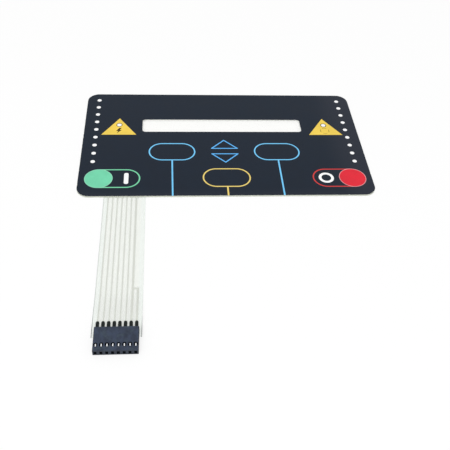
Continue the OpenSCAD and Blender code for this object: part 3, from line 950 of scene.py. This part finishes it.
class KEYPAD_OT_contacts(bpy.types.Operator):
    """Models one crimp contact and copies it along the row"""

    bl_idname = "keypad.contacts"
    bl_label = "Contacts"

    def execute(self, context):
        made = context.scene.keypad_connector
        finish = self.metal(made)
        pattern = self.contact(made)
        for i in range(CONTACT_COUNT):
            activate(pattern)
            bpy.ops.object.duplicate(linked=False)
            contact = bpy.context.object
            contact.name = "crimp_contact_%d" % (i + 1)
            contact.location.x = i * PITCH
            bpy.ops.object.transform_apply(location=True, rotation=True, scale=True)
            seat(contact, finish, "contact_metal", "contact_%d" % (i + 1))
        bpy.data.objects.remove(pattern)
        return {"FINISHED"}

    def contact(self, made):
        """One contact, as one closed solid: crimp lug and jaw on the film, web, spring box and lance."""
        crimp = FILM_END - made.gap
        box_rear = crimp - made.web
        lug, jaw = self.jaws(made, crimp)
        parts = [lug, jaw, self.web(made, crimp, box_rear), self.spring(made, box_rear), self.lance(made)]
        for part in parts:
            round_rims(part, made.burr, angle=40)
        for part in parts[1:]:
            combine(lug, part, "UNION")
        lug.name = "contact_pattern"
        smooth(lug, angle=40)
        return lug

    def jaws(self, made, crimp):
        """The crowned lug above the film and the flat jaw below it, both with a round end."""
        half = CONTACT_W / 2
        rear = FIRST_HIGH.y
        lower, upper = film_faces(made)
        top = upper + made.jaw + made.crown
        lug = start_box("lug", (FIRST_X - half, crimp, upper), (FIRST_X + half, rear, top))
        jaw = start_box("jaw", (FIRST_X - half, crimp, lower - made.jaw), (FIRST_X + half, rear, lower))
        for part in (lug, jaw):
            round_edges(part, upright_behind(rear - TINY), half * ROUND_END, made.round_steps)
        round_edges(lug, lambda place, along: place.z > top - TINY, made.crown * CROWN_ROUND, steps=4)
        return lug, jaw

    def web(self, made, crimp, box_rear):
        """The neck between the crimp and the spring box. It bites into both and lies inside their sides."""
        half = CONTACT_W / 2
        bite = made.gap / 2
        lower, upper = film_faces(made)
        low = (FIRST_X - half + bite, box_rear - 2 * bite, lower - made.jaw + bite)
        high = (FIRST_X + half - bite, crimp + 1.5 * bite, upper + made.jaw)
        return start_box("web", low, high)

    def spring(self, made, box_rear):
        """The box that takes a pin, open towards the front."""
        half = CONTACT_W / 2
        box_front = HOUSING_LOW.y + made.front_wall + made.gap
        low = (FIRST_X - half, box_front, HOUSING_Z - made.box / 2)
        high = (FIRST_X + half, box_rear, HOUSING_Z + made.box / 2)
        spring = start_box("spring", low, high)
        pick_front(spring)
        bpy.ops.mesh.inset(thickness=(made.box - made.bore) / 2, depth=0)
        extrude_along_y((box_rear - box_front) * BORE_REACH)
        leave_edit()
        return spring

    def lance(self, made):
        """The bright tongue on the spring box that shows in the window."""
        y = HOUSING_LOW.y + made.window_back
        base = HOUSING_Z + made.box / 2
        low = (FIRST_X - made.lance_w / 2, y - made.lance_len / 2, base - made.lance_rise)
        high = (FIRST_X + made.lance_w / 2, y + made.lance_len / 2, base + made.lance_rise)
        lance = start_box("lance", low, high)
        radius = made.lance_rise * LANCE_ROUND
        round_edges(lance, lambda place, along: place.z > base + TINY, radius, steps=3)
        return lance

    def metal(self, made):
        """Tinned metal with drawing lines, bright on the lance, with painted shade and painted dark
        reflection in place of the tin on the crimp and in the housing.
        """
        finish = Finish("tinned_metal")
        lines = finish.noise(size=0.1 * MM, stretch=(1, 12, 1))
        stain = finish.noise(size=0.8 * MM)
        base = HOUSING_Z + made.box / 2
        raised = finish.z.step(base + 0.2 * made.lance_rise, base + 0.6 * made.lance_rise)
        along = abs(finish.y - (HOUSING_LOW.y + made.window_back))
        # Painted shade and painted dark reflection everywhere but on the raised lance, where the metal is
        # also turned off
        dark = 1 - raised * along.within(0.38 * made.lance_len, 0.47 * made.lance_len)
        bright = finish.shades(lines, made.tin, 0.88, 1.06)
        painted_dark_metal = finish.shades(stain, made.lug, 0.7, 1.4)
        finish.give(
            Base_Color=finish.mix(dark, bright, painted_dark_metal),
            Metallic=1 - dark,
            Roughness=stain.between(0.2, 0.4) + dark * 0.15,
            Specular_IOR_Level=0.1,
            Normal=finish.bump(lines, depth=0.006 * MM, strength=0.5),
        )
        return finish


class KEYPAD_OT_stage(bpy.types.Operator):
    """Sets the floor, the light and the camera"""

    bl_idname = "keypad.stage"
    bl_label = "Stage"

    def execute(self, context):
        settings = context.scene.keypad_stage
        context.scene.view_settings.view_transform = "Standard"
        self.floor(settings)
        self.sky(context.scene, settings)
        self.lamp(settings)
        self.camera(context.scene, settings)
        return {"FINISHED"}

    def floor(self, settings):
        """A wide pale floor just under the liner, part of it plain white to what sees it."""
        deselect()
        bpy.ops.mesh.primitive_plane_add(size=FLOOR_SIZE, location=(0, 0, -FLOOR_DROP))
        floor = bpy.context.object
        floor.name = "floor"
        finish = Finish("pale_floor")
        cloud = finish.noise(size=0.4, detail=2)
        tint = finish.shades(cloud, settings.floor, 0.995, 1)
        lit = finish.shader(Base_Color=tint, Roughness=0.8, Specular_IOR_Level=0.0)
        white = finish.light("ShaderNodeEmission", 1.0)
        finish.show(finish.blend(finish.seen() * settings.glow, lit, white))
        floor.data.materials.append(finish.material)

    def sky(self, scene, settings):
        """Even light from all round, which the camera, gloss and clear films see as white."""
        scene.world = bpy.data.worlds.new("studio")
        tree = Tree(scene.world)
        light = tree.light("ShaderNodeBackground", settings.sky)
        white = tree.light("ShaderNodeBackground", 1.0)
        surface = tree.blend(tree.seen(), light, white)
        tree.node("ShaderNodeOutputWorld", inputs={"Surface": surface}, output=None)

    def lamp(self, settings):
        """One wide soft lamp, high up on the tail's side."""
        bpy.ops.object.light_add(type="AREA", location=settings.lamp_place)
        lamp = bpy.context.object
        lamp.name = "wide_lamp"
        lamp.data.energy = settings.lamp
        lamp.data.size = settings.lamp_size
        lamp.rotation_euler = lamp.location.to_track_quat("Z", "Y").to_euler()

    def camera(self, scene, settings):
        """The photograph's view of the keypad."""
        bpy.ops.object.camera_add()
        camera = bpy.context.object
        camera.name = "camera"
        camera.data.sensor_width = SENSOR_WIDTH
        camera.data.lens = settings.lens
        camera.data.clip_start = CLIP_START
        camera.data.clip_end = CLIP_END
        camera.matrix_world = (
            Matrix.Translation(settings.camera)
            @ Matrix.Rotation(-settings.yaw, 4, "Z")
            @ Matrix.Rotation(math.pi / 2 - settings.elevation, 4, "X")
            @ Matrix.Rotation(settings.roll, 4, "Z")
        )
        scene.camera = camera


class KEYPAD_PT_sidebar(bpy.types.Panel):
    """Lists the settings and the steps of the keypad"""

    bl_idname = "KEYPAD_PT_sidebar"
    bl_label = "Membrane keypad"
    bl_space_type = "VIEW_3D"
    bl_region_type = "UI"
    bl_category = "Keypad"

    def draw(self, context):
        for name, group, operators in STEPS:
            box = self.layout.box()
            settings = getattr(context.scene, name)
            for key in group.__annotations__:
                box.prop(settings, key)
            for operator in operators:
                box.operator(operator.bl_idname)


STEPS = (
    ("keypad_print", KeypadPrint, (KEYPAD_OT_print,)),
    ("keypad_films", KeypadFilms, (KEYPAD_OT_overlay, KEYPAD_OT_inner_layers, KEYPAD_OT_circuit)),
    ("keypad_connector", KeypadConnector, (KEYPAD_OT_housing, KEYPAD_OT_contacts)),
    ("keypad_stage", KeypadStage, (KEYPAD_OT_stage,)),
)


def register():
    """Registers the settings, the operators and the panel."""
    for name, group, operators in STEPS:
        bpy.utils.register_class(group)
        setattr(bpy.types.Scene, name, PointerProperty(type=group))
        for operator in operators:
            bpy.utils.register_class(operator)
    bpy.utils.register_class(KEYPAD_PT_sidebar)


def unregister():
    """Takes the panel, the operators and the settings away again."""
    bpy.utils.unregister_class(KEYPAD_PT_sidebar)
    for name, group, operators in reversed(STEPS):
        for operator in operators:
            bpy.utils.unregister_class(operator)
        delattr(bpy.types.Scene, name)
        bpy.utils.unregister_class(group)


def main():
    """Builds the whole keypad in order."""
    register()
    bpy.ops.keypad.print()
    bpy.ops.keypad.overlay()
    bpy.ops.keypad.inner_layers()
    bpy.ops.keypad.circuit()
    bpy.ops.keypad.housing()
    bpy.ops.keypad.contacts()
    bpy.ops.keypad.stage()


if __name__ == "__main__":
    main()
